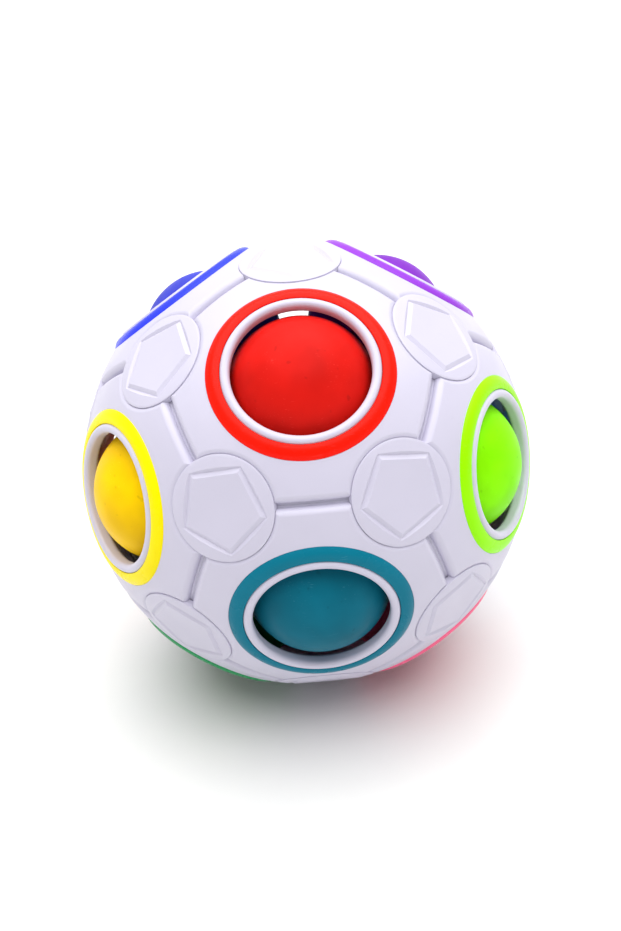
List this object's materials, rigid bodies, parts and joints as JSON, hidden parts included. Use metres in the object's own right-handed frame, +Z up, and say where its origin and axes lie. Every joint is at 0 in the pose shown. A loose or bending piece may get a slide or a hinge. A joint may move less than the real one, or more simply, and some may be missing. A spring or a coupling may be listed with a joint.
{
  "type": "sliding ball puzzle",
  "caption": "Hollow spherical puzzle with round holes ringed in different colours and captive balls that press in and slide from hole to hole.",
  "frame": {"origin": "centre of the sphere", "axes": "+Z up, through the cap opposite the one the puzzle stands on; +Y towards the back, nearest the empty hole; +X to the right"},
  "size_m": [0.07, 0.0708, 0.0692],
  "materials": {
    "shell_white": "satin moulded plastic",
    "core_rubber": "matte moulded rubber",
    "ring_red": "glossy moulded plastic",
    "ball_red": "satin moulded plastic",
    "ring_purple": "glossy moulded plastic",
    "ball_purple": "satin moulded plastic",
    "ring_blue": "glossy moulded plastic",
    "ball_blue": "satin moulded plastic",
    "ring_grey": "glossy moulded plastic",
    "ring_yellow": "glossy moulded plastic",
    "ball_yellow": "satin moulded plastic",
    "ring_lime": "glossy moulded plastic",
    "ball_lime": "satin moulded plastic",
    "ring_teal": "glossy moulded plastic",
    "ball_teal": "satin moulded plastic",
    "ring_sky": "glossy moulded plastic",
    "ball_sky": "satin moulded plastic",
    "ring_orange": "glossy moulded plastic",
    "ball_orange": "satin moulded plastic",
    "ring_magenta": "glossy moulded plastic",
    "ball_magenta": "satin moulded plastic",
    "ring_green": "glossy moulded plastic",
    "ball_green": "satin moulded plastic",
    "ring_pink": "glossy moulded plastic",
    "ball_pink": "satin moulded plastic"
  },
  "bodies": {
    "shell": {"cap_blue_purple_grey": "shell_white", "cap_green_orange_magenta": "shell_white", "cap_green_orange_yellow": "shell_white", "cap_green_pink_magenta": "shell_white", "cap_green_pink_teal": "shell_white", "cap_green_yellow_teal": "shell_white", "cap_orange_blue_grey": "shell_white", "cap_orange_blue_yellow": "shell_white", "cap_orange_magenta_grey": "shell_white", "cap_pink_lime_teal": "shell_white", "cap_pink_sky_lime": "shell_white", "cap_pink_sky_magenta": "shell_white", "cap_red_blue_purple": "shell_white", "cap_red_blue_yellow": "shell_white", "cap_red_lime_teal": "shell_white", "cap_red_purple_lime": "shell_white", "cap_red_yellow_teal": "shell_white", "cap_sky_magenta_grey": "shell_white", "cap_sky_purple_grey": "shell_white", "cap_sky_purple_lime": "shell_white", "panel_blue": "shell_white", "panel_green": "shell_white", "panel_grey": "shell_white", "panel_lime": "shell_white", "panel_magenta": "shell_white", "panel_orange": "shell_white", "panel_pink": "shell_white", "panel_purple": "shell_white", "panel_red": "shell_white", "panel_sky": "shell_white", "panel_teal": "shell_white", "panel_yellow": "shell_white", "ring_blue": "ring_blue", "ring_green": "ring_green", "ring_grey": "ring_grey", "ring_lime": "ring_lime", "ring_magenta": "ring_magenta", "ring_orange": "ring_orange", "ring_pink": "ring_pink", "ring_purple": "ring_purple", "ring_red": "ring_red", "ring_sky": "ring_sky", "ring_teal": "ring_teal", "ring_yellow": "ring_yellow"},
    "core": {"core": "core_rubber"},
    "red_ball": {"ball_red": "ball_red"},
    "purple_ball": {"ball_purple": "ball_purple"},
    "blue_ball": {"ball_blue": "ball_blue"},
    "yellow_ball": {"ball_yellow": "ball_yellow"},
    "lime_ball": {"ball_lime": "ball_lime"},
    "teal_ball": {"ball_teal": "ball_teal"},
    "sky_ball": {"ball_sky": "ball_sky"},
    "orange_ball": {"ball_orange": "ball_orange"},
    "magenta_ball": {"ball_magenta": "ball_magenta"},
    "green_ball": {"ball_green": "ball_green"},
    "pink_ball": {"ball_pink": "ball_pink"}
  },
  "joints": [
    {"name": "core_turn", "type": "hinge", "parent": "shell", "child": "core", "pos_m": [0, 0, 0], "axis": [0, 0, 1], "continuous": true},
    {"name": "red_ball_press", "type": "slide", "parent": "shell", "child": "red_ball", "axis": [0, 0.6071, -0.7947], "range_m": [-0.0008, 0.0038], "stiffness_N_per_m": 1500, "deforming": ["core"]},
    {"name": "purple_ball_to_empty_hole", "type": "slide", "parent": "shell", "child": "purple_ball", "axis": [-0.5, 0.6455, -0.5774], "range_m": [0, 0.02587], "deforming": ["core"]},
    {"name": "blue_ball_press", "type": "slide", "parent": "shell", "child": "blue_ball", "axis": [0.5257, -0.3035, -0.7947], "range_m": [-0.0023, 0.0023], "stiffness_N_per_m": 1500, "deforming": ["core"]},
    {"name": "yellow_ball_press", "type": "slide", "parent": "shell", "child": "yellow_ball", "axis": [0.8507, 0.4911, -0.1876], "range_m": [-0.0018, 0.0028], "stiffness_N_per_m": 1500, "deforming": ["core"]},
    {"name": "lime_ball_press", "type": "slide", "parent": "shell", "child": "lime_ball", "axis": [-0.8507, 0.4911, -0.1876], "range_m": [-0.00185, 0.00275], "stiffness_N_per_m": 1500, "deforming": ["core"]},
    {"name": "teal_ball_press", "type": "slide", "parent": "shell", "child": "teal_ball", "axis": [0, 0.9822, 0.1876], "range_m": [-0.00145, 0.00315], "stiffness_N_per_m": 1500, "deforming": ["core"]},
    {"name": "sky_ball_press", "type": "slide", "parent": "shell", "child": "sky_ball", "axis": [-0.8507, -0.4911, 0.1876], "range_m": [-0.0019, 0.0027], "stiffness_N_per_m": 1500, "deforming": ["core"]},
    {"name": "orange_ball_press", "type": "slide", "parent": "shell", "child": "orange_ball", "axis": [0.8507, -0.4911, 0.1876], "range_m": [-0.0019, 0.0027], "stiffness_N_per_m": 1500, "deforming": ["core"]},
    {"name": "magenta_ball_press", "type": "slide", "parent": "shell", "child": "magenta_ball", "axis": [0, -0.6071, 0.7947], "range_m": [-0.0019, 0.0027], "stiffness_N_per_m": 1500, "deforming": ["core"]},
    {"name": "green_ball_press", "type": "slide", "parent": "shell", "child": "green_ball", "axis": [0.5257, 0.3035, 0.7947], "range_m": [-0.0019, 0.0027], "stiffness_N_per_m": 1500, "deforming": ["core"]},
    {"name": "pink_ball_press", "type": "slide", "parent": "shell", "child": "pink_ball", "axis": [-0.5257, 0.3035, 0.7947], "range_m": [-0.0019, 0.0027], "stiffness_N_per_m": 1500, "deforming": ["core"]}
  ]
}
